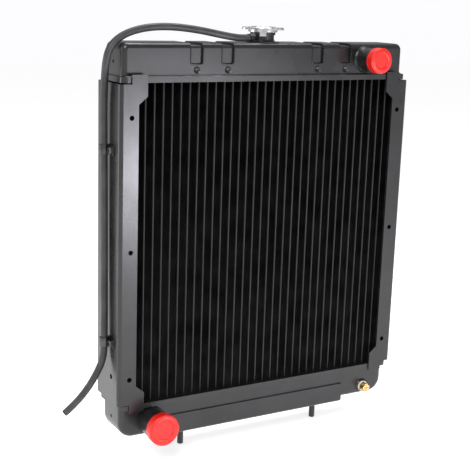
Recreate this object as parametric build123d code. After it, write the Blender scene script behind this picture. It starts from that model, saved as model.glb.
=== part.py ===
"""Copper-brass radiator for an engine: pressed tanks, tube-and-fin core, channel side plates,
filler neck with a pressure cap, overflow hose, drain cock, foot channel and transit caps.

Units are millimetres.  +X is the object's right seen from its front, -Y is the front, +Z is up.
The origin is on the underside of the foot channel, midway between the two locating pins.
"""
import os
from math import cos, pi, radians, sin, tan

from build123d import *

os.makedirs("parts", exist_ok=True)

# ---- driving dimensions -------------------------------------------------------------------
MID_Z = 270.0                 # mid height of the core
FACE = 0.05                   # soldering gap, and sheet faces that only just miss each other

# side plates: channels whose web faces outwards
PLATE_X = 225.5               # outer face of each web, from the middle
PLATE_D = 74.0                # depth of the channel, front to back
PLATE_T = 2.0
PLATE_R = 5.0                 # outer bend radius
WEB_HALF = 213.0              # half length of the web
TAB_HALF = 225.0              # half length over the corner tabs
TAB_IN, TAB_OUT = 187.5, 209.0        # the tabs' inner and outer edges
FLANGE_IN = 199.5             # inner edge of the flange between the tabs
CHAMFER_OUT, CHAMFER_IN = 187.5, 197.5  # heights where the chamfer meets flange and tab
HOLE_X, HOLE_Z, HOLE_PITCH, HOLE_R = 209.0, 267.0, 174.0, 3.3
WEB_HOLE = (-14.0, 93.0, 3.5)         # y, z and radius

# core
TUBE_PITCH, TUBE_COLS = 12.7, 34
TUBE_W, TUBE_L, TUBE_WALL = 2.4, 14.0, 0.3
ROW_PITCH, TUBE_ROWS = 17.0, 3
FIN_DEPTH, FIN_LEG, FIN_T = 46.0, 16.0, 0.3

# header plates: trays that hold the tube ends and the tanks' feet
HEADER_HALF = 214.5           # core side of each header plate, from mid height
HEADER_X, HEADER_Y, HEADER_R = 222.0, 35.0, 8.0
HEADER_T, HEADER_RIM = 1.6, 7.0

# tanks
TANK_X, TANK_Y = 219.0, 28.0
TANK_HALF = 264.0             # closed side of each tank, from mid height
TANK_WALL, TANK_EDGE_R = 1.5, 7.0
UPPER_CORNER_R, LOWER_CORNER_R = 9.0, 21.0
FOOT_T = 1.5                  # the tank's outward foot, inside the header's rim
GROOVE_X = (-114.5, -68.5, 73.0, 119.5)
GROOVE_W, GROOVE_Z, GROOVE_DEEP = 18.0, 506.5, 3.0
DIMPLE_Z, DIMPLE_R, DIMPLE_DEEP = 499.2, 4.8, 2.0
DIMPLE_SHIFT = 0.5            # each dimple sits a little to the right of its groove
END_MARK_R, END_MARK_DEEP = 2.3, 0.9
SOLDER_H, SOLDER_SLOPE = 5.2, 2.4     # solder between the tank's foot and the header's rim

# hose ports
INLET = dict(x=153.5, z=512.5, r=16.0, end_y=-65.0)
OUTLET = dict(x=-172.7, z=28.0, r=20.0, end_y=-70.4)
PORT_WALL, COLLAR = 1.5, 1.2
CAP_LEN, CAP_WALL, CAP_FIT = 12.0, 1.6, 0.08

# filler neck and overflow nipple
NECK_R, NECK_WALL = 15.5, 1.5
NECK_LOW, NECK_TOP = 524.0, 547.0
NECK_LIP_R, NECK_LIP_H = 18.0, 3.0
SEAT_Z, SEAT_T, SEAT_R = 531.0, 2.0, 11.0
BASE_RING_R, BASE_RING_T = 22.5, 1.0
NOTCH_W = 12.0
EAR_ANGLE = -30.0              # direction of the cap's ears at rest
NIPPLE_Z, NIPPLE_R, NIPPLE_BORE = 539.9, 2.2, 1.5
NIPPLE_DIR = (-0.93, -0.3676)
NIPPLE_END = 33.0             # distance of the nipple's tip from the neck's axis

# pressure cap
SHELL_R, SHELL_T, SHELL_LOW, SHELL_TOP = 20.0, 1.2, 547.8, 554.0
EAR_HALF, EAR_R, EAR_LOW = 28.5, 9.5, 550.6
TANG_ARC = 26.0
GAP = 0.35                    # between pieces that move apart

# overflow hose: its route as hand-picked points
HOSE_R, HOSE_START = 4.75, 23.8
HOSE_ROUTE = [
    (HOSE_START * NIPPLE_DIR[0], HOSE_START * NIPPLE_DIR[1], NIPPLE_Z), (-35.3, -13.95, NIPPLE_Z),
    (-51.0, -17.3, 540.4), (-73.0, -17.4, 543.8), (-104.0, -14.8, 549.6), (-140.0, -12.6, 553.6),
    (-174.0, -12.0, 553.0), (-202.0, -12.0, 546.8), (-219.4, -12.0, 537.6), (-230.3, -12.0, 525.2),
    (-233.6, -10.3, 508.5), (-232.9, -5.2, 489.0), (-232.3, -1.5, 463.0), (-232.2, -1.6, 428.0),
    (-231.8, -2.2, 368.0), (-231.4, -3.0, 275.0), (-231.6, -4.2, 210.0), (-231.9, -5.2, 163.0),
    (-232.1, -5.8, 121.0), (-239.0, -1.5, 99.0), (-250.0, 5.0, 75.0), (-264.5, 13.3, 52.0),
    (-277.7, 20.9, 36.9),
]
CLAMP_R, CLAMP_RUN = 5.7, (26.6, 31.6)

# hose clips
CLIP_Z = (398.0, 141.0)
CLIP_Y = (-1.9, -5.5)
CLIP_X = -232.0
CLIP_IN, CLIP_OUT, CLIP_W = 5.5, 6.5, 12.0
CLIP_SCREW_DY = -12.6         # screw from the hose, towards the front
SCREW_R, SCREW_HEAD_R, SCREW_HEAD_H = 2.9, 5.0, 3.6
NUT_R, NUT_T = 5.2, 1.8        # clinch nuts on the inner side of the web

# drain cock
DRAIN_X, DRAIN_Z = 182.0, 19.5
STEM_R, STEM_FIT = 2.55, 0.05
BOSS_R = 8.0

# foot
FOOT_X, FOOT_Y, FOOT_H, FOOT_WALL = 143.5, 30.5, 29.0, 2.5
PIN_X, PIN_R, PIN_LOW = 112.5, 4.4, -30.0
PIN_ROOT_R, PIN_ROOT_H = 4.6, 1.0     # the stouter root, through the web


# ---- helpers ------------------------------------------------------------------------------
def save(node, *solids):
    """Write one node; several solids stay separate inside it."""
    shape = solids[0] if len(solids) == 1 else Compound(children=list(solids))
    export_step(shape, f"parts/{node}.step")


def one(shape):
    """The only solid of an algebra result."""
    (solid,) = shape.solids()
    return solid


def slab(x0, x1, y0, y1, z0, z1):
    """A box from its low and high corners."""
    return Pos((x0 + x1) / 2, (y0 + y1) / 2, (z0 + z1) / 2) * Box(x1 - x0, y1 - y0, z1 - z0)


def rod_x(x0, x1, y, z, r):
    """A cylinder along X."""
    return Pos((x0 + x1) / 2, y, z) * Rot(0, 90, 0) * Cylinder(r, x1 - x0)


def rod_y(x, y0, y1, z, r):
    """A cylinder along Y."""
    return Pos(x, (y0 + y1) / 2, z) * Rot(90, 0, 0) * Cylinder(r, y1 - y0)


def rod_z(x, y, z0, z1, r):
    """A cylinder along Z."""
    return Pos(x, y, (z0 + z1) / 2) * Cylinder(r, z1 - z0)


def plate_xy(width, depth, r, z0, z1):
    """A flat plate with rounded corners, centred on the origin in plan."""
    return extrude(Pos(0, 0, z0) * RectangleRounded(width, depth, r), z1 - z0)


def flip(shape):
    """The same shape turned upside down about the core's mid height."""
    return mirror(shape, Plane.XY.offset(MID_Z))


# ---- side plates --------------------------------------------------------------------------
def side_plate():
    """The right-hand channel, with its corner tabs and flange holes."""
    width = 2 * (PLATE_X - TAB_IN)
    ring = RectangleRounded(width, PLATE_D, PLATE_R)
    ring -= RectangleRounded(width - 2 * PLATE_T, PLATE_D - 2 * PLATE_T, PLATE_R - PLATE_T)
    section = Pos(TAB_IN, 0) * ring & Pos(TAB_IN + width / 2, 0) * Rectangle(width, PLATE_D + 2)
    body = extrude(Pos(0, 0, MID_Z - TAB_HALF) * section, 2 * TAB_HALF)
    for z0, z1 in ((-TAB_HALF - 1, -WEB_HALF), (WEB_HALF, TAB_HALF + 1)):
        body -= slab(TAB_OUT, PLATE_X + 1, -PLATE_D, PLATE_D, MID_Z + z0, MID_Z + z1)
    window = Polygon(
        (TAB_IN - 1, -CHAMFER_IN), (TAB_IN, -CHAMFER_IN), (FLANGE_IN, -CHAMFER_OUT),
        (FLANGE_IN, CHAMFER_OUT), (TAB_IN, CHAMFER_IN), (TAB_IN - 1, CHAMFER_IN), align=None)
    body -= extrude(Plane.XZ * Pos(0, MID_Z) * window, PLATE_D, both=True)
    for i in (-1, 0, 1):
        body -= rod_y(HOLE_X, -PLATE_D / 2 - 1, -PLATE_D / 2 + PLATE_T + 1, HOLE_Z + i * HOLE_PITCH, HOLE_R)
    y, z, r = WEB_HOLE
    body -= rod_x(PLATE_X - PLATE_T - 1, PLATE_X + 1, y, z, r)
    return body


def side_plates():
    """Both channels; the left one also takes the two clip screws."""
    right = side_plate()
    left = mirror(right, Plane.YZ)
    for y, z in zip(CLIP_Y, CLIP_Z):
        left -= rod_x(-PLATE_X - 1, -PLATE_X + PLATE_T + 1, y + CLIP_SCREW_DY, z, SCREW_R)
    save("right_side_plate", one(right))
    save("left_side_plate", one(left))


# ---- core ---------------------------------------------------------------------------------
def tube_places():
    """Centres of the tubes in plan."""
    xs = [(i - (TUBE_COLS - 1) / 2) * TUBE_PITCH for i in range(TUBE_COLS)]
    ys = [(j - (TUBE_ROWS - 1) / 2) * ROW_PITCH for j in range(TUBE_ROWS)]
    return [(x, y) for x in xs for y in ys]


def core():
    """Flat tubes in rows, with corrugated fin strips soldered between the columns."""
    half = HEADER_HALF + HEADER_T + 1.0
    wall = SlotOverall(TUBE_L, TUBE_W, rotation=90)
    wall -= SlotOverall(TUBE_L - 2 * TUBE_WALL, TUBE_W - 2 * TUBE_WALL, rotation=90)
    tube = one(extrude(Pos(0, 0, MID_Z - half) * wall, 2 * half))
    save("core_tubes", *[Pos(x, y, 0) * tube for x, y in tube_places()])

    reach = (TUBE_PITCH - TUBE_W) / 2 - FACE - FIN_T
    legs = int(2 * (HEADER_HALF - 2) // FIN_LEG)
    low = -legs * FIN_LEG / 2
    zigzag = [(reach * (-1) ** i, low + i * FIN_LEG) for i in range(legs + 1)]
    outline = [(x - FIN_T / 2, z) for x, z in zigzag] + [(x + FIN_T / 2, z) for x, z in reversed(zigzag)]
    sheet = Plane.XZ * Pos(0, MID_Z) * Polygon(*outline, align=None)
    strip = one(extrude(sheet, FIN_DEPTH / 2, both=True))
    save("core_fins", *[Pos((i - TUBE_COLS / 2) * TUBE_PITCH, 0, 0) * strip for i in range(TUBE_COLS + 1)])


def header_plate():
    """The upper header: a tray with a slot for each tube."""
    z = MID_Z + HEADER_HALF
    tray = plate_xy(2 * HEADER_X, 2 * HEADER_Y, HEADER_R, z, z + HEADER_RIM)
    tray -= plate_xy(2 * (HEADER_X - HEADER_T), 2 * (HEADER_Y - HEADER_T), HEADER_R - HEADER_T,
                     z + HEADER_T, z + HEADER_RIM + 1)
    slot = SlotOverall(TUBE_L, TUBE_W, rotation=90)
    slots = Sketch() + [Pos(x, y) * slot for x, y in tube_places()]
    return tray - extrude(Pos(0, 0, z - 1) * slots, HEADER_T + 2)


# ---- tanks --------------------------------------------------------------------------------
TANK_BASE = MID_Z + HEADER_HALF + HEADER_T


def tank_body(inset, corner_r):
    """Solid outline of a tank, its mouth down, every face moved in by inset."""
    half_x, half_y, top = TANK_X - inset, TANK_Y - inset, MID_Z + TANK_HALF - inset
    side = Pos(0, (TANK_BASE + top) / 2) * Rectangle(2 * half_x, top - TANK_BASE)
    side = fillet(side.vertices().sort_by(Axis.Y)[-2:], corner_r - inset)
    body = extrude(Plane.XZ * side, half_y, both=True)
    edges = [e for e in body.edges()
             if abs(abs(e.center().Y) - half_y) < 0.01 and e.center().Z > TANK_BASE + 0.01]
    return fillet(edges, TANK_EDGE_R - inset)


def tank_shell(corner_r, grooves):
    """Pressed shell with an outward foot; pressed grooves keep the wall's thickness."""
    outer = tank_body(0, corner_r)
    hollow = tank_body(TANK_WALL, corner_r)
    ball_r = (DIMPLE_R ** 2 + DIMPLE_DEEP ** 2) / (2 * DIMPLE_DEEP)
    for x in grooves:
        for grow, solid_in in ((0, GROOVE_DEEP), (TANK_WALL, GROOVE_DEEP + TANK_WALL)):
            width = GROOVE_W + 2 * grow
            face = Pos(x, GROOVE_Z - grow + 25) * RectangleRounded(width, 50, 4 + grow)
            band = extrude(Plane.XZ * face, TANK_Y + 5, both=True) - tank_body(solid_in, corner_r)
            if grow:
                hollow -= band
            else:
                outer -= band
        for side in (-1, 1):
            centre = Pos(x + DIMPLE_SHIFT, side * (TANK_Y + ball_r - DIMPLE_DEEP), DIMPLE_Z)
            outer -= centre * Sphere(ball_r)
            hollow -= centre * Sphere(ball_r + TANK_WALL)
    foot_gap = HEADER_T + 0.4
    foot = plate_xy(2 * (HEADER_X - foot_gap), 2 * (HEADER_Y - foot_gap), HEADER_R - foot_gap,
                    TANK_BASE, TANK_BASE + FOOT_T)
    shell = (outer + foot) - hollow
    for side in (-1, 1):
        x = side * TANK_X
        shell -= rod_x(x - END_MARK_DEEP, x + END_MARK_DEEP, 0, MID_Z + (HEADER_HALF + TANK_HALF) / 2,
                       END_MARK_R)
    return shell


def solder_bead():
    """The ring of solder that fills the upper tray, outside the tank's wall."""
    gap = HEADER_T + FACE
    low = TANK_BASE + FOOT_T + FACE
    ring = plate_xy(2 * (HEADER_X - gap), 2 * (HEADER_Y - gap), HEADER_R - gap, low, low + SOLDER_H)
    ring = chamfer(ring.faces().sort_by(Axis.Z)[-1].edges(), SOLDER_SLOPE, 1.2 * SOLDER_SLOPE)
    hole = plate_xy(2 * (TANK_X + FACE), 2 * (TANK_Y + FACE), TANK_EDGE_R + FACE, low - 1, low + SOLDER_H + 1)
    return one(ring - hole)


def tanks():
    """Both tanks, pierced for the neck, the ports and the drain."""
    upper = tank_shell(UPPER_CORNER_R, GROOVE_X)
    upper -= rod_z(0, 0, MID_Z + TANK_HALF - 5, MID_Z + TANK_HALF + 1, NECK_R)
    upper -= rod_y(INLET["x"], -TANK_Y - 1, -TANK_Y + 5, INLET["z"], INLET["r"])
    lower = flip(tank_shell(LOWER_CORNER_R, ()))
    lower -= rod_y(OUTLET["x"], -TANK_Y - 1, -TANK_Y + 8, OUTLET["z"], OUTLET["r"])
    lower -= rod_y(DRAIN_X, -TANK_Y - 1, -TANK_Y + 5, DRAIN_Z, BOSS_R)
    save("upper_tank", one(upper))
    bead = solder_bead()
    save("upper_solder_bead", bead)
    clear = rod_y(OUTLET["x"], -2 * TANK_Y, 0, OUTLET["z"], OUTLET["r"] + COLLAR + FACE)
    save("lower_solder_bead", one(flip(bead) - clear))
    save("lower_tank", one(lower))


# ---- hose ports and their transit caps ----------------------------------------------------
def port(spec):
    """A hose tube brazed into a tank, with a collar of braze at its root."""
    inner_y = -TANK_Y + 3.0
    tube = rod_y(spec["x"], spec["end_y"], inner_y, spec["z"], spec["r"])
    tube += rod_y(spec["x"], -TANK_Y - COLLAR, -TANK_Y, spec["z"], spec["r"] + COLLAR)
    return tube - rod_y(spec["x"], spec["end_y"] - 1, inner_y + 1, spec["z"], spec["r"] - PORT_WALL)


def port_cap(spec):
    """A push-on cap: a cup with a rounded face and a thin rim."""
    r_in = spec["r"] + CAP_FIT
    r_out = r_in + CAP_WALL
    front = spec["end_y"] - GAP - CAP_WALL
    cup = rod_y(spec["x"], front, front + CAP_LEN, spec["z"], r_out)
    cup = fillet(cup.edges().sort_by(Axis.Y)[0], 1.5)
    cup -= rod_y(spec["x"], front + CAP_WALL, front + CAP_LEN + 1, spec["z"], r_in)
    return one(cup)


# ---- filler neck --------------------------------------------------------------------------
def filler_neck():
    """A drawn neck: a seat ledge inside, a rolled lip with two notches at its top."""
    lip_low = NECK_TOP - NECK_LIP_H
    body = rod_z(0, 0, NECK_LOW, NECK_TOP, NECK_R) + rod_z(0, 0, lip_low, NECK_TOP, NECK_LIP_R)
    body -= rod_z(0, 0, NECK_LOW - 1, NECK_TOP + 1, NECK_R - NECK_WALL)
    body += rod_z(0, 0, SEAT_Z, SEAT_Z + SEAT_T, NECK_R - 0.1) - rod_z(0, 0, SEAT_Z - 1, SEAT_Z + 3, SEAT_R)
    outside = rod_z(0, 0, lip_low - 1, NECK_TOP + 1, NECK_LIP_R + 2)
    outside -= rod_z(0, 0, lip_low - 2, NECK_TOP + 2, NECK_R)
    slot = Rot(0, 0, EAR_ANGLE) * slab(-30, 30, -NOTCH_W / 2, NOTCH_W / 2, lip_low - 1, NECK_TOP + 1)
    return one(body - (outside & slot) - nipple_rod(NECK_R - 3, NECK_R + 3, NIPPLE_R))


def nipple_rod(r0, r1, radius):
    """A rod along the nipple's axis, from r0 to r1 from the neck's axis."""
    heading = Vector(NIPPLE_DIR[0], NIPPLE_DIR[1], 0)
    plane = Plane(origin=Vector(0, 0, NIPPLE_Z) + heading * r0, z_dir=heading)
    return extrude(plane * Circle(radius), r1 - r0)


def overflow_nipple():
    """A short tube brazed into the side of the neck."""
    body = nipple_rod(NECK_R - 1.2, NIPPLE_END, NIPPLE_R)
    return one(body - nipple_rod(NECK_R - 4, NIPPLE_END + 1, NIPPLE_BORE))


# ---- pressure cap -------------------------------------------------------------------------
def cap_shell():
    """The pressed top: round skirt, two ears with turned lips, two tangs under the neck's lip."""
    reach = EAR_HALF - EAR_R
    circles = [Circle(SHELL_R)] + [Pos(side * reach, 0) * Circle(EAR_R) for side in (-1, 1)]
    plan = make_hull([edge for circle in circles for edge in circle.edges()])
    top = SHELL_TOP - SHELL_T
    body = extrude(Pos(0, 0, EAR_LOW) * plan, SHELL_TOP - EAR_LOW)
    body = fillet(body.faces().sort_by(Axis.Z)[-1].edges(), 1.8)
    body -= extrude(Pos(0, 0, EAR_LOW - 1) * offset(plan, -SHELL_T), top - EAR_LOW + 1)
    skirt_r = SHELL_R - 0.1
    skirt = rod_z(0, 0, SHELL_LOW, top + 0.3, skirt_r) - rod_z(0, 0, SHELL_LOW - 1, top + 1, skirt_r - SHELL_T)
    tang_top = NECK_TOP - NECK_LIP_H - GAP
    tang_out, tang_in = skirt_r - 0.1, skirt_r - SHELL_T + 0.1
    profile = Polygon(
        (NECK_R + GAP, tang_top), (NECK_R + GAP, tang_top - SHELL_T), (tang_out, tang_top - SHELL_T),
        (tang_out, SHELL_LOW + 2), (tang_in, SHELL_LOW + 2), (tang_in, tang_top), align=None)
    tang = Rot(0, 0, 90 - TANG_ARC / 2) * revolve(Plane.XZ * profile, axis=Axis.Z, revolution_arc=TANG_ARC)
    body = body + skirt + tang + Rot(0, 0, 180) * tang
    return one(Rot(0, 0, EAR_ANGLE) * body)


def helix_spring(r, wire_r, z0, z1, turns):
    """A round-wire spring about Z between two heights."""
    height = z1 - z0 - 2 * wire_r
    path = Pos(0, 0, z0 + wire_r) * Helix(pitch=height / turns, height=height, radius=r)
    start = Plane(origin=path @ 0, z_dir=path % 0)
    return one(sweep(start * Circle(wire_r), path=path))


def pressure_cap():
    """Shell, gasket, friction disc and rivet, then both valves and their springs."""
    under = SHELL_TOP - SHELL_T
    disc_low = NECK_TOP + 1.5
    disc_top = disc_low + 0.6
    save("cap_shell", cap_shell())
    save("cap_friction_disc", one(rod_z(0, 0, disc_low, disc_top, 18.2) - rod_z(0, 0, 500, 600, 2.5)))
    rivet = rod_z(0, 0, disc_low, disc_top, 2.5) + rod_z(0, 0, disc_top, under, 5.0)
    save("cap_rivet", one(rivet + rod_z(0, 0, disc_low - 0.8, disc_low, 4.2)))
    gasket = rod_z(0, 0, NECK_TOP + GAP, disc_low, 17.6) - rod_z(0, 0, NECK_TOP, disc_top, 13.5)
    save("cap_gasket", one(gasket))

    seal_low = SEAT_Z + SEAT_T + GAP
    plate_low = seal_low + 2.0
    plate_top = plate_low + 1.0
    hub_top = plate_low + 4.0
    seal = rod_z(0, 0, seal_low, plate_low, 13.5) - rod_z(0, 0, seal_low - 1, plate_low + 1, 5.0)
    save("pressure_valve_seal", one(seal))
    plate = rod_z(0, 0, plate_low, plate_top, 13.0) + rod_z(0, 0, plate_low, hub_top, 5.0)
    save("pressure_valve_plate", one(plate - rod_z(0, 0, plate_low - 1, hub_top + 1, 2.05)))
    save("pressure_spring", helix_spring(10.2, 0.8, plate_top + FACE, disc_low - FACE, 4.5))
    stem_top = hub_top + 3.4
    valve = rod_z(0, 0, seal_low - GAP - 0.9, seal_low - GAP, 8.0) + rod_z(0, 0, seal_low - 1, stem_top, 2.0)
    save("vacuum_valve", one(valve + rod_z(0, 0, stem_top - 0.8, stem_top, 3.4)))
    save("vacuum_spring", helix_spring(2.75, 0.3, hub_top + FACE, stem_top - 0.8 - FACE, 3))


# ---- overflow hose and its clips ----------------------------------------------------------
def overflow_hose():
    """Straight runs joined by tangent arcs, each arc as large as its two runs allow."""
    points = [Vector(*p) for p in HOSE_ROUTE]
    radii = []
    for a, b, c in zip(points, points[1:], points[2:]):
        turn = radians((b - a).get_angle(c - b))
        radii.append(0.45 * min((b - a).length, (c - b).length) / tan(turn / 2))
    print("hose radii", [round(r) for r in radii])
    path = FilletPolyline(*points, radius=radii)
    start = Plane(origin=points[0], z_dir=points[1] - points[0])
    hose = one(sweep(start * Circle(HOSE_R), path=path))
    print("hose length", round(path.length, 1), "volume ratio",
          round(hose.volume / (pi * HOSE_R ** 2 * path.length), 4))
    return one(hose - nipple_rod(HOSE_START - 1, NIPPLE_END, NIPPLE_R))


def hose_clamp():
    """A spring band that grips the hose on the nipple."""
    r0, r1 = CLAMP_RUN
    return one(nipple_rod(r0, r1, CLAMP_R) - nipple_rod(r0 - 1, r1 + 1, HOSE_R))


def hose_clip(y, z):
    """A band round the hose whose two ends lie flat on the web under one screw."""
    z0, z1 = z - CLIP_W / 2, z + CLIP_W / 2
    web = -PLATE_X
    screw_y = y + CLIP_SCREW_DY
    band = rod_z(CLIP_X, y, z0, z1, CLIP_OUT) + slab(web - 2.0, web, screw_y - 6.5, y, z0, z1)
    band -= rod_z(CLIP_X, y, z0 - 1, z1 + 1, CLIP_IN)
    band -= rod_x(web - 5, web + 1, screw_y, z, SCREW_R + 0.05)
    cushion = rod_z(CLIP_X, y, z0 - 0.8, z1 + 0.8, CLIP_IN) - rod_z(CLIP_X, y, z0 - 2, z1 + 2, HOSE_R + 0.05)
    screw = rod_x(web - 2.0 - SCREW_HEAD_H, web - 2.0, screw_y, z, SCREW_HEAD_R)
    screw = fillet(screw.edges().sort_by(Axis.X)[0], 1.4)
    screw += rod_x(web - 2.0, web + PLATE_T + NUT_T, screw_y, z, SCREW_R)
    drive = slab(web - 7, web - 2 - SCREW_HEAD_H + 1.6, screw_y - 3, screw_y + 3, z - 0.6, z + 0.6)
    drive += slab(web - 7, web - 2 - SCREW_HEAD_H + 1.6, screw_y - 0.6, screw_y + 0.6, z - 3, z + 3)
    inner = web + PLATE_T
    nut = rod_x(inner, inner + NUT_T, screw_y, z, NUT_R) - rod_x(inner - 1, inner + 3, screw_y, z, SCREW_R)
    return one(band), one(cushion), one(screw - drive), one(nut)


# ---- drain cock ---------------------------------------------------------------------------
def drain_cock():
    """Boss, washer, hexagon body, screw stem with its cross head, and the seal on its tip."""
    face = -TANK_Y
    boss_y, washer_y, seat_y = face - 3.0, face - 4.6, face + 7.0
    boss = rod_y(DRAIN_X, boss_y, face + 4, DRAIN_Z, BOSS_R) - rod_y(DRAIN_X, face - 4, face + 5, DRAIN_Z, 5.0)
    save("drain_boss", one(boss))
    washer = rod_y(DRAIN_X, washer_y, boss_y, DRAIN_Z, 7.8) - rod_y(DRAIN_X, face - 5, face, DRAIN_Z, 5.0)
    save("drain_washer", one(washer))
    mouth = Plane(origin=(DRAIN_X, washer_y, DRAIN_Z), z_dir=(0, -1, 0))
    hexagon = mouth * RegularPolygon(6.5, 6, major_radius=False)
    body = extrude(hexagon, 3.2) + rod_y(DRAIN_X, washer_y - 1, seat_y + 1.5, DRAIN_Z, 5.0)
    body -= rod_y(DRAIN_X, face - 9, seat_y - 4, DRAIN_Z, STEM_R + STEM_FIT)
    body -= rod_y(DRAIN_X, seat_y - 5, seat_y, DRAIN_Z, 3.6) + rod_y(DRAIN_X, seat_y - 1, seat_y + 2, DRAIN_Z, 1.5)
    save("drain_body", one(body))

    tip_y = seat_y - GAP - 2.0
    stem = rod_y(DRAIN_X, face - 12, tip_y, DRAIN_Z, STEM_R)
    save("drain_stem", one(stem + rod_y(DRAIN_X, tip_y, tip_y + 1.3, DRAIN_Z, 1.2)))
    seal = rod_y(DRAIN_X, tip_y + GAP, seat_y - GAP, DRAIN_Z, STEM_R)
    save("drain_seal", one(seal - rod_y(DRAIN_X, tip_y, tip_y + 1.3 + GAP, DRAIN_Z, 1.2 + STEM_FIT)))

    knob_y0, knob_y1 = face - 13.4, face - 8.4
    knob = rod_y(DRAIN_X, knob_y0, knob_y1, DRAIN_Z, 6.25)
    for i in range(4):
        turn = pi / 4 + i * pi / 2
        knob -= rod_y(DRAIN_X + 7.2 * cos(turn), knob_y0 - 1, knob_y1 + 1, DRAIN_Z + 7.2 * sin(turn), 2.4)
        knob -= Pos(DRAIN_X, knob_y0, DRAIN_Z) * Rot(0, 90 * i, 0) * slab(0, 5.2, -1, 1.4, -0.5, 0.5)
    knob -= rod_y(DRAIN_X, face - 12, knob_y1 + 1, DRAIN_Z, STEM_R)
    save("drain_knob", one(knob))


# ---- foot ---------------------------------------------------------------------------------
def foot():
    """A channel under the lower tank, with two pins that stand down from it."""
    inner_r = PLATE_R - FOOT_WALL
    outer = extrude(Plane.YZ * Pos(0, 50) * RectangleRounded(2 * FOOT_Y, 100, PLATE_R), FOOT_X, both=True)
    inner = extrude(Plane.YZ * Pos(0, 50 + FOOT_WALL) * RectangleRounded(2 * (FOOT_Y - FOOT_WALL), 100, inner_r),
                    FOOT_X + 1, both=True)
    channel = outer - inner - slab(-300, 300, -60, 60, FOOT_H, 200)
    for side in (-1, 1):
        channel -= rod_z(side * PIN_X, 0, -1, FOOT_WALL + 1, PIN_ROOT_R)
    save("foot_channel", one(channel))
    pins = []
    for side in (-1, 1):
        pin = rod_z(side * PIN_X, 0, PIN_LOW, FOOT_WALL, PIN_R)
        pin = chamfer(pin.edges().sort_by(Axis.Z)[0], 0.9)
        pin += rod_z(side * PIN_X, 0, -PIN_ROOT_H, FOOT_WALL, PIN_ROOT_R)
        pins.append(one(pin + rod_z(side * PIN_X, 0, FOOT_WALL, FOOT_WALL + 2.2, PIN_R + 3)))
    save("locating_pins", *pins)


def main():
    side_plates()
    core()
    header = header_plate()
    save("upper_header_plate", one(header))
    save("lower_header_plate", one(flip(header)))
    tanks()
    save("inlet_tube", one(port(INLET)))
    save("outlet_tube", one(port(OUTLET)))
    save("inlet_transit_cap", port_cap(INLET))
    save("outlet_transit_cap", port_cap(OUTLET))
    save("filler_neck", filler_neck())
    top = MID_Z + TANK_HALF
    ring = rod_z(0, 0, top, top + BASE_RING_T, BASE_RING_R) - rod_z(0, 0, top - 1, top + 3, NECK_R)
    save("neck_base_ring", one(ring))
    save("overflow_nipple", overflow_nipple())
    pressure_cap()
    save("overflow_hose", overflow_hose())
    save("hose_spring_clamp", hose_clamp())
    screws, nuts = [], []
    for place, y, z in zip(("upper", "lower"), CLIP_Y, CLIP_Z):
        band, cushion, screw, nut = hose_clip(y, z)
        save(f"{place}_hose_clip", band)
        save(f"{place}_clip_cushion", cushion)
        screws.append(screw)
        nuts.append(nut)
    save("clip_screws", *screws)
    save("clip_nuts", *nuts)
    drain_cock()
    foot()


main()
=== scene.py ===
"""Looks of a copper-brass engine radiator: paint, core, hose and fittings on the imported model."""
import math
import random

import bmesh
import bpy
from mathutils import Matrix, Vector


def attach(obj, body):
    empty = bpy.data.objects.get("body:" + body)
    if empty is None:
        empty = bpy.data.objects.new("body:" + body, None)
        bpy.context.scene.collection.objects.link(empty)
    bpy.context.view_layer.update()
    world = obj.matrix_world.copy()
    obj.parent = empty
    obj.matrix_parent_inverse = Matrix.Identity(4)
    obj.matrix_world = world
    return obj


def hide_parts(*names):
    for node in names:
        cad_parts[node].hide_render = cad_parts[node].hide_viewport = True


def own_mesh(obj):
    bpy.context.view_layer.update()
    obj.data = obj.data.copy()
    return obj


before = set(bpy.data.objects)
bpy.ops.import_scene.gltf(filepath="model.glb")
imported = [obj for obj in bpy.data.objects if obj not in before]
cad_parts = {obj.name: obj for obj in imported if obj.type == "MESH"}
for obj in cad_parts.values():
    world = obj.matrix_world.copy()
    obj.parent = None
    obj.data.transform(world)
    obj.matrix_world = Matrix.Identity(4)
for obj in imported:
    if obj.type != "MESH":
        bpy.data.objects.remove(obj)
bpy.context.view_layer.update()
MM = 0.001

# ---- driving sizes, in millimetres unless said --------------------------------------------
CORE_LOW, CORE_TOP = 55.6, 484.4
TUBE_PITCH, TUBE_W, STRIPS = 12.7, 2.4, 35
FIN_PITCH, FIN_HALF_DEPTH = 2.3, 23.0
CAP_TOP = 554.0
NECK_R = 15.5
INLET_X, INLET_Z, INLET_R = 153.5, 512.5, 16.0
OUTLET_X, OUTLET_Z, OUTLET_R = -172.7, 28.0, 20.0
INLET_CAP_FACE, OUTLET_CAP_FACE = -66.95, -72.35      # y of the transit caps' faces
DRAIN_X, DRAIN_Z, DRAIN_R = 182.0, 19.5, 8.0
PIN_X, PIN_WELD_R = 112.5, 4.45
BASE_RING_T = 1.0
TANK_TOP, TANK_FRONT = 534.0, -28.0
HOSE_R = 4.75
FLOOR_Z = -30.0               # the tips of the locating pins
SKY_FILL, SKY_SEEN = 0.36, 1.0      # the sky's strength as light, and as backdrop
FLOOR_GLOW = 0.64
GROOVE_X, GROOVE_HALF, GROOVE_FOOT = (-114.5, -68.5, 73.0, 119.5), 9.2, 506.3
LIP_R, LIP_TOP, LIP_BEND = 0.9, 527.0, 4.0     # rolled lips round the tank's pressed grooves

# each spring: its node, the joint that shortens it, its fixed end's height and its travel
SPRINGS = (
    ("pressure_spring", "pressure_valve_lift", 548.45, 3.0),
    ("vacuum_spring", "vacuum_valve_drop", 539.4, 1.5),
)

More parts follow.
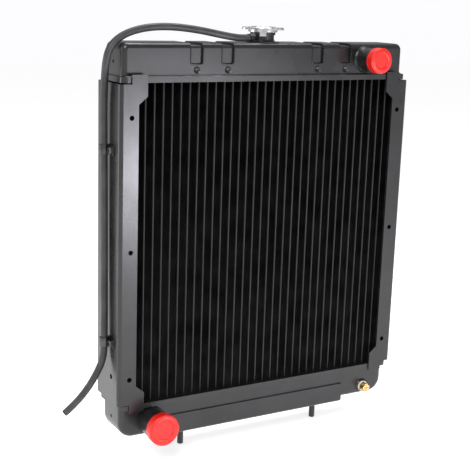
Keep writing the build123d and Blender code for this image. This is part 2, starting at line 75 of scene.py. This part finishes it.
# the hose's route: the same points as the CAD tube
HOSE_START = 23.8
NIPPLE = (-0.93, -0.3676, 539.9)
HOSE_ROUTE = [
    (HOSE_START * NIPPLE[0], HOSE_START * NIPPLE[1], NIPPLE[2]), (-35.3, -13.95, NIPPLE[2]),
    (-51.0, -17.3, 540.4), (-73.0, -17.4, 543.8), (-104.0, -14.8, 549.6), (-140.0, -12.6, 553.6),
    (-174.0, -12.0, 553.0), (-202.0, -12.0, 546.8), (-219.4, -12.0, 537.6), (-230.3, -12.0, 525.2),
    (-233.6, -10.3, 508.5), (-232.9, -5.2, 489.0), (-232.3, -1.5, 463.0), (-232.2, -1.6, 428.0),
    (-231.8, -2.2, 368.0), (-231.4, -3.0, 275.0), (-231.6, -4.2, 210.0), (-231.9, -5.2, 163.0),
    (-232.1, -5.8, 121.0), (-239.0, -1.5, 99.0), (-250.0, 5.0, 75.0), (-264.5, 13.3, 52.0),
    (-277.7, 20.9, 36.9),
]


# ---- camera, light and floor --------------------------------------------------------------
def place_camera():
    """The product view: from the front left, a little above."""
    yaw, pitch, roll = math.radians(-30.09), math.radians(13.03), math.radians(1.89)
    back = Vector((math.sin(yaw) * math.cos(pitch), -math.cos(yaw) * math.cos(pitch), math.sin(pitch)))
    right = Vector((math.cos(yaw), math.sin(yaw), 0))
    up = back.cross(right)
    right_rolled = math.cos(roll) * right + math.sin(roll) * up
    up_rolled = -math.sin(roll) * right + math.cos(roll) * up
    data = bpy.data.cameras.new("camera")
    data.lens = 80.5
    data.sensor_width = 36
    camera = bpy.data.objects.new("camera", data)
    turn = Matrix((right_rolled, up_rolled, back)).transposed().to_4x4()
    camera.matrix_world = Matrix.Translation(Vector((-0.7521, -1.2408, 0.5995))) @ turn
    bpy.context.scene.collection.objects.link(camera)
    bpy.context.scene.camera = camera


def area_light(name, place, target, width, height, power, colour=(1, 1, 1)):
    """A rectangular softbox that looks at a point."""
    data = bpy.data.lights.new(name, "AREA")
    data.shape = "RECTANGLE"
    data.size, data.size_y = width, height
    data.energy = power
    data.color = colour
    light = bpy.data.objects.new(name, data)
    light.location = place
    light.rotation_euler = (Vector(target) - Vector(place)).to_track_quat("-Z", "Y").to_euler()
    bpy.context.scene.collection.objects.link(light)


def light_studio():
    """A white backdrop over dimmer surroundings, softboxes for the highlights, a pale floor."""
    bpy.context.scene.view_settings.view_transform = "Standard"
    world = bpy.data.worlds.new("studio")
    bpy.context.scene.world = world
    world.use_nodes = True
    nodes, links = world.node_tree.nodes, world.node_tree.links
    sky = nodes["Background"]
    sky.inputs["Color"].default_value = (0.98, 0.98, 1.0, 1)
    rays = nodes.new("ShaderNodeLightPath")
    strength = nodes.new("ShaderNodeMapRange")
    strength.inputs["To Min"].default_value = SKY_FILL
    strength.inputs["To Max"].default_value = SKY_SEEN
    links.new(rays.outputs["Is Camera Ray"], strength.inputs["Value"])
    links.new(strength.outputs["Result"], sky.inputs["Strength"])
    area_light("flange_box", (0.50, -1.35, 0.10), (-0.1, 0, 0.35), 0.34, 0.42, 9, (0.93, 0.92, 1.0))
    area_light("key", (-1.3, -1.5, 1.9), (0, 0, 0.3), 1.1, 1.1, 34)
    area_light("top", (0.3, 0.4, 2.0), (0, 0, 0.4), 1.2, 0.8, 22)
    area_light("side", (-1.7, 0.9, 0.6), (-0.2, 0, 0.3), 0.6, 1.2, 10)
    bpy.ops.mesh.primitive_plane_add(size=14, location=(0, 0, FLOOR_Z * MM - 0.0004))
    floor = bpy.context.object
    floor.name = "floor"
    pale = surface("floor", (0.93, 0.93, 0.94), 0.8, Specular_IOR_Level=0.1,
                   Emission_Color=(1, 1, 1, 1), Emission_Strength=FLOOR_GLOW)
    floor.data.materials.append(pale)


# ---- materials ----------------------------------------------------------------------------
def surface(name, colour, roughness, metallic=0.0, **sockets):
    """A Principled material; further sockets are given with underscores for spaces."""
    material = bpy.data.materials.new(name)
    material.use_nodes = True
    shader = material.node_tree.nodes["Principled BSDF"]
    shader.inputs["Base Color"].default_value = (*colour, 1)
    shader.inputs["Roughness"].default_value = roughness
    shader.inputs["Metallic"].default_value = metallic
    for socket, value in sockets.items():
        shader.inputs[socket.replace("_", " ")].default_value = value
    return material


def texture(material, scale, stretch=(1, 1, 1), detail=4.0):
    """Noise in the object's own metres; stretch makes it streaky. Returns its factor socket."""
    nodes, links = material.node_tree.nodes, material.node_tree.links
    place = nodes.new("ShaderNodeTexCoord")
    mapping = nodes.new("ShaderNodeMapping")
    mapping.inputs["Scale"].default_value = stretch
    noise = nodes.new("ShaderNodeTexNoise")
    noise.inputs["Scale"].default_value = scale
    noise.inputs["Detail"].default_value = detail
    links.new(place.outputs["Object"], mapping.inputs["Vector"])
    links.new(mapping.outputs["Vector"], noise.inputs["Vector"])
    return noise.outputs["Fac"]


def spread(material, factor, low, high, start=0.35, end=0.65):
    """Maps a noise factor to a range of values."""
    ramp = material.node_tree.nodes.new("ShaderNodeMapRange")
    ramp.inputs["From Min"].default_value = start
    ramp.inputs["From Max"].default_value = end
    ramp.inputs["To Min"].default_value = low
    ramp.inputs["To Max"].default_value = high
    material.node_tree.links.new(factor, ramp.inputs["Value"])
    return ramp.outputs["Result"]


def vary_roughness(material, factor, low, high):
    """Roughness that wanders between two values."""
    shader = material.node_tree.nodes["Principled BSDF"]
    material.node_tree.links.new(spread(material, factor, low, high), shader.inputs["Roughness"])


def vary_colour(material, factor, low, high, start=0.35, end=0.65):
    """Colour that wanders between two colours."""
    nodes, links = material.node_tree.nodes, material.node_tree.links
    mix = nodes.new("ShaderNodeMix")
    mix.data_type = "RGBA"
    links.new(spread(material, factor, 0, 1, start, end), mix.inputs["Factor"])
    mix.inputs["A"].default_value = (*low, 1)
    mix.inputs["B"].default_value = (*high, 1)
    links.new(mix.outputs["Result"], nodes["Principled BSDF"].inputs["Base Color"])


def bumps(material, factor, strength, depth_mm):
    """Small relief from a noise factor."""
    nodes, links = material.node_tree.nodes, material.node_tree.links
    bump = nodes.new("ShaderNodeBump")
    bump.inputs["Strength"].default_value = strength
    bump.inputs["Distance"].default_value = depth_mm * MM
    links.new(factor, bump.inputs["Height"])
    links.new(bump.outputs["Normal"], nodes["Principled BSDF"].inputs["Normal"])


def paint(name, low, high, rough_low, rough_high, coat):
    """Sprayed black paint: orange peel, faint mottling and patches that shine more."""
    material = surface(name, low, rough_low, Coat_Weight=coat, Coat_Roughness=0.12, Specular_IOR_Level=0.55)
    vary_colour(material, texture(material, 38, detail=8), low, high)
    vary_roughness(material, texture(material, 14, detail=6), rough_low, rough_high)
    bumps(material, texture(material, 520, detail=2), 0.16, 0.12)
    return material


def metal(name, low, high, rough_low, rough_high, scale, stretch):
    """Bare metal with fine tool marks along one direction."""
    material = surface(name, low, rough_low, 1.0)
    vary_colour(material, texture(material, 90, detail=5), low, high)
    vary_roughness(material, texture(material, scale, stretch, 3), rough_low, rough_high)
    bumps(material, texture(material, scale, stretch, 3), 0.12, 0.05)
    return material


def make_materials():
    """One finished material for each kind of surface."""
    looks = {
        "plate": paint("plate_paint", (0.006, 0.006, 0.0065), (0.011, 0.011, 0.012), 0.24, 0.34, 0.12),
        "tank": paint("tank_paint", (0.008, 0.008, 0.0085), (0.014, 0.014, 0.015), 0.26, 0.38, 0.12),
        "core": paint("core_paint", (0.003, 0.003, 0.0032), (0.007, 0.007, 0.0075), 0.5, 0.65, 0.0),
        "fins": paint("fin_paint", (0.016, 0.016, 0.017), (0.05, 0.05, 0.052), 0.4, 0.55, 0.0),
        "dark_steel": metal("dark_steel", (0.06, 0.06, 0.062), (0.11, 0.11, 0.11), 0.3, 0.5, 300, (1, 1, 1)),
        "zinc": metal("zinc_plate", (0.70, 0.70, 0.72), (0.82, 0.82, 0.83), 0.16, 0.30, 260, (1, 1, 5)),
        "spring": metal("spring_steel", (0.42, 0.42, 0.43), (0.52, 0.52, 0.52), 0.25, 0.4, 400, (1, 1, 1)),
        "brass": metal("brass", (0.72, 0.50, 0.22), (0.86, 0.66, 0.34), 0.18, 0.34, 300, (1, 6, 1)),
    }
    red = surface("red_plastic", (0.74, 0.012, 0.008), 0.36, Subsurface_Weight=0.1, Subsurface_Scale=0.002)
    vary_colour(red, texture(red, 60, detail=4), (0.70, 0.010, 0.007), (0.82, 0.018, 0.011))
    vary_roughness(red, texture(red, 40, detail=4), 0.28, 0.42)
    bumps(red, texture(red, 700, detail=2), 0.12, 0.06)
    looks["red"] = red
    nylon = surface("nylon", (0.86, 0.85, 0.81), 0.42, Subsurface_Weight=0.2, Subsurface_Scale=0.001)
    bumps(nylon, texture(nylon, 600), 0.1, 0.05)
    looks["nylon"] = nylon
    rubber = surface("hose_rubber", (0.028, 0.028, 0.03), 0.5, Specular_IOR_Level=0.5)
    vary_colour(rubber, texture(rubber, 55, detail=8), (0.024, 0.024, 0.026), (0.043, 0.043, 0.045))
    vary_roughness(rubber, texture(rubber, 30, detail=5), 0.42, 0.6)
    bumps(rubber, texture(rubber, 900, detail=2), 0.3, 0.12)
    looks["rubber"] = rubber
    return looks


NODE_LOOKS = {
    "plate": ("left_side_plate", "right_side_plate"),
    "tank": ("upper_tank", "lower_tank", "upper_header_plate", "lower_header_plate", "upper_solder_bead",
             "lower_solder_bead", "inlet_tube", "outlet_tube", "filler_neck", "neck_base_ring",
             "overflow_nipple", "foot_channel", "locating_pins", "drain_boss"),
    "core": ("core_tubes",),
    "dark_steel": ("hose_spring_clamp", "upper_hose_clip", "lower_hose_clip", "clip_screws", "clip_nuts"),
    "zinc": ("cap_shell", "cap_friction_disc", "cap_rivet", "pressure_valve_plate", "vacuum_valve"),
    "spring": ("pressure_spring", "vacuum_spring"),
    "brass": ("drain_body", "drain_stem", "drain_knob"),
    "red": ("inlet_transit_cap", "outlet_transit_cap"),
    "nylon": ("drain_washer",),
    "rubber": ("upper_clip_cushion", "lower_clip_cushion", "cap_gasket", "pressure_valve_seal", "drain_seal"),
}


def dress_nodes(looks):
    """Gives every shown CAD node its finished material."""
    for look, nodes in NODE_LOOKS.items():
        for node in nodes:
            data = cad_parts[node].data
            for i in range(len(data.materials)):
                data.materials[i] = looks[look]
            if not data.materials:
                data.materials.append(looks[look])


# ---- mesh helpers -------------------------------------------------------------------------
def new_piece(name, mesh, look, body="radiator", smooth=True):
    """Links a mesh made in row-frame metres, gives it its look and lets it ride on a body."""
    piece = bpy.data.objects.new(name, mesh)
    bpy.context.scene.collection.objects.link(piece)
    mesh.materials.append(look)
    for polygon in mesh.polygons:
        polygon.use_smooth = smooth
    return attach(piece, body)


def lathe(name, profile, origin, axis, look, body="radiator", steps=64, wobble=0.0):
    """A closed ring from (radius, height) points turned about an axis; wobble roughens a bead."""
    rng = random.Random(name)
    turn = Vector((0, 0, 1)).rotation_difference(Vector(axis)).to_matrix()
    mesh = bmesh.new()
    rings = []
    for i in range(steps):
        angle = 2 * math.pi * i / steps
        ring = []
        for radius, height in profile:
            r = (radius + wobble * rng.uniform(-1, 1)) * MM
            point = Vector((r * math.cos(angle), r * math.sin(angle), height * MM))
            ring.append(mesh.verts.new(turn @ point + Vector(origin) * MM))
        rings.append(ring)
    count = len(profile)
    for i in range(steps):
        here, there = rings[i], rings[(i + 1) % steps]
        for j in range(count):
            k = (j + 1) % count
            mesh.faces.new((here[j], there[j], there[k], here[k]))
    bmesh.ops.recalc_face_normals(mesh, faces=mesh.faces)
    data = bpy.data.meshes.new(name)
    mesh.to_mesh(data)
    mesh.free()
    return new_piece(name, data, look, body)


# ---- the core's fins ----------------------------------------------------------------------
def fin_strip_points():
    """One serpentine's outline in (x, z), with rounded folds, about its own middle line."""
    reach = (TUBE_PITCH - TUBE_W) / 2 - 0.06
    bend = 0.35
    points = []
    folds = int((CORE_TOP - CORE_LOW) / (FIN_PITCH / 2))
    for i in range(folds):
        z = CORE_LOW + (i + 0.5) * FIN_PITCH / 2
        side = 1 if i % 2 else -1
        points.append((side * (reach - bend), z - FIN_PITCH * 0.2))
        points.append((side * reach, z))
        points.append((side * (reach - bend), z + FIN_PITCH * 0.2))
    return points


def core_fins(look):
    """Corrugated strips at their real pitch, one between each pair of tube columns."""
    mesh = bmesh.new()
    outline = fin_strip_points()
    rng = random.Random(3)
    for strip in range(STRIPS):
        x0 = (strip - (STRIPS - 1) / 2) * TUBE_PITCH
        shift = rng.uniform(-0.4, 0.4) * FIN_PITCH
        previous = None
        for x, z in outline:
            height = min(max(z + shift, CORE_LOW), CORE_TOP)
            front = mesh.verts.new(((x0 + x) * MM, -FIN_HALF_DEPTH * MM, height * MM))
            rear = mesh.verts.new(((x0 + x) * MM, FIN_HALF_DEPTH * MM, height * MM))
            if previous:
                mesh.faces.new((previous[0], front, rear, previous[1]))
            previous = (front, rear)
    data = bpy.data.meshes.new("core_fin_strips")
    mesh.to_mesh(data)
    mesh.free()
    fins = new_piece("core_fin_strips", data, look, smooth=False)
    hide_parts("core_fins")


# ---- the overflow hose --------------------------------------------------------------------
def overflow_hose(look):
    """A smooth spline through the route, as a tube with a cut end."""
    data = bpy.data.curves.new("overflow_hose_tube", "CURVE")
    data.dimensions = "3D"
    data.bevel_depth = 1.0
    data.bevel_resolution = 6
    data.use_fill_caps = True
    data.resolution_u = 10
    spline = data.splines.new("NURBS")
    spline.points.add(len(HOSE_ROUTE) - 1)
    for point, place in zip(spline.points, HOSE_ROUTE):
        point.co = (*(Vector(place) * MM), 1)
        point.radius = HOSE_R * MM
    spline.order_u = 3
    spline.use_endpoint_u = True
    hose = bpy.data.objects.new("overflow_hose_tube", data)
    bpy.context.scene.collection.objects.link(hose)
    data.materials.append(look)
    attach(hose, "radiator")
    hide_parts("overflow_hose")
    length = sum(spline_lengths(hose))


def spline_lengths(curve):
    """Lengths of the pieces of a curve's own line."""
    depth, curve.data.bevel_depth = curve.data.bevel_depth, 0
    bpy.context.view_layer.update()
    line = bpy.data.meshes.new_from_object(curve.evaluated_get(bpy.context.evaluated_depsgraph_get()))
    curve.data.bevel_depth = depth
    bpy.context.view_layer.update()
    points = [v.co.copy() for v in line.vertices]
    bpy.data.meshes.remove(line)
    return [(b - a).length for a, b in zip(points, points[1:])]


# ---- fine pieces --------------------------------------------------------------------------
def brazed_joints(looks):
    """Beads of braze and solder where tubes meet sheet."""
    bead = [(0.0, 0.0), (2.6, 0.0), (1.9, 0.5), (0.9, 1.2), (0.35, 2.4), (0.0, 3.0)]
    joints = {
        "inlet_braze": (INLET_R, (INLET_X, TANK_FRONT, INLET_Z), (0, -1, 0)),
        "drain_braze": (DRAIN_R, (DRAIN_X, TANK_FRONT, DRAIN_Z), (0, -1, 0)),
        "neck_braze": (NECK_R, (0, 0, TANK_TOP + BASE_RING_T), (0, 0, 1)),
    }
    for name, (radius, origin, axis) in joints.items():
        profile = [(radius + 0.05 + r, h) for r, h in bead]
        lathe(name, profile, origin, axis, looks["tank"], wobble=0.12)
    for side in (-1, 1):
        profile = [(PIN_WELD_R + 0.8 * r, h * 0.6) for r, h in bead]
        lathe(f"pin_weld_{'left' if side < 0 else 'right'}", profile, (side * PIN_X, 0, 0), (0, 0, -1),
              looks["tank"], wobble=0.15)


def cap_pressing(looks):
    """The pressed rings and the rivet head on top of the pressure cap."""
    rings = [(0.0, 0.0), (4.6, 0.0), (4.6, 0.5), (3.9, 1.1), (2.2, 1.5), (0.01, 1.6)]
    lathe("cap_rivet_head", rings, (0, 0, CAP_TOP), (0, 0, 1), looks["zinc"], "cap")
    swell = [(12.6, -0.3), (17.6, -0.3), (17.2, 0.35), (16.2, 0.75), (14.2, 0.75), (13.1, 0.35)]
    lathe("cap_pressed_ring", swell, (0, 0, CAP_TOP), (0, 0, 1), looks["zinc"], "cap")


def groove_lips(look):
    """The rounded lips that the press leaves round each groove, front and rear."""
    for side in (-1, 1):
        for i, x in enumerate(GROOVE_X):
            data = bpy.data.curves.new("groove_lip", "CURVE")
            data.dimensions = "3D"
            data.bevel_depth = 1.0
            data.bevel_resolution = 3
            low, bend = GROOVE_FOOT, GROOVE_FOOT + LIP_BEND
            line = [(-GROOVE_HALF, LIP_TOP), (-GROOVE_HALF, bend), (-GROOVE_HALF, low),
                    (GROOVE_HALF, low), (GROOVE_HALF, bend), (GROOVE_HALF, LIP_TOP)]
            spline = data.splines.new("NURBS")
            spline.points.add(len(line) - 1)
            for point, (across, z) in zip(spline.points, line):
                point.co = ((x + across) * MM, side * -TANK_FRONT * MM, z * MM, 1)
                point.radius = LIP_R * MM
            spline.order_u = 3
            spline.use_endpoint_u = True
            data.materials.append(look)
            lip = bpy.data.objects.new(f"groove_lip_{'front' if side < 0 else 'rear'}_{i}", data)
            bpy.context.scene.collection.objects.link(lip)
            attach(lip, "radiator")


def cap_faces(looks):
    """The raised ring moulded on the face of each transit cap."""
    faces = {
        "inlet_cap": (INLET_X, INLET_CAP_FACE, INLET_Z, INLET_R),
        "outlet_cap": (OUTLET_X, OUTLET_CAP_FACE, OUTLET_Z, OUTLET_R),
    }
    for body, (x, y, z, r) in faces.items():
        ring = [(0.62 * r, -0.3), (r, -0.3), (r, 0.4), (0.96 * r, 0.8), (0.68 * r, 0.8), (0.62 * r, 0.4)]
        lathe(f"{body}_ring", ring, (x, y, z), (0, -1, 0), looks["red"], body)


def springs():
    """Gives each valve spring a mesh of its own."""
    for node, joint, fixed_end, travel in SPRINGS:
        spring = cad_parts[node]
        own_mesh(spring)


def main():
    place_camera()
    light_studio()
    looks = make_materials()
    dress_nodes(looks)
    core_fins(looks["fins"])
    overflow_hose(looks["rubber"])
    brazed_joints(looks)
    cap_pressing(looks)
    groove_lips(looks["tank"])
    cap_faces(looks)
    springs()


main()
bpy.context.view_layer.update()
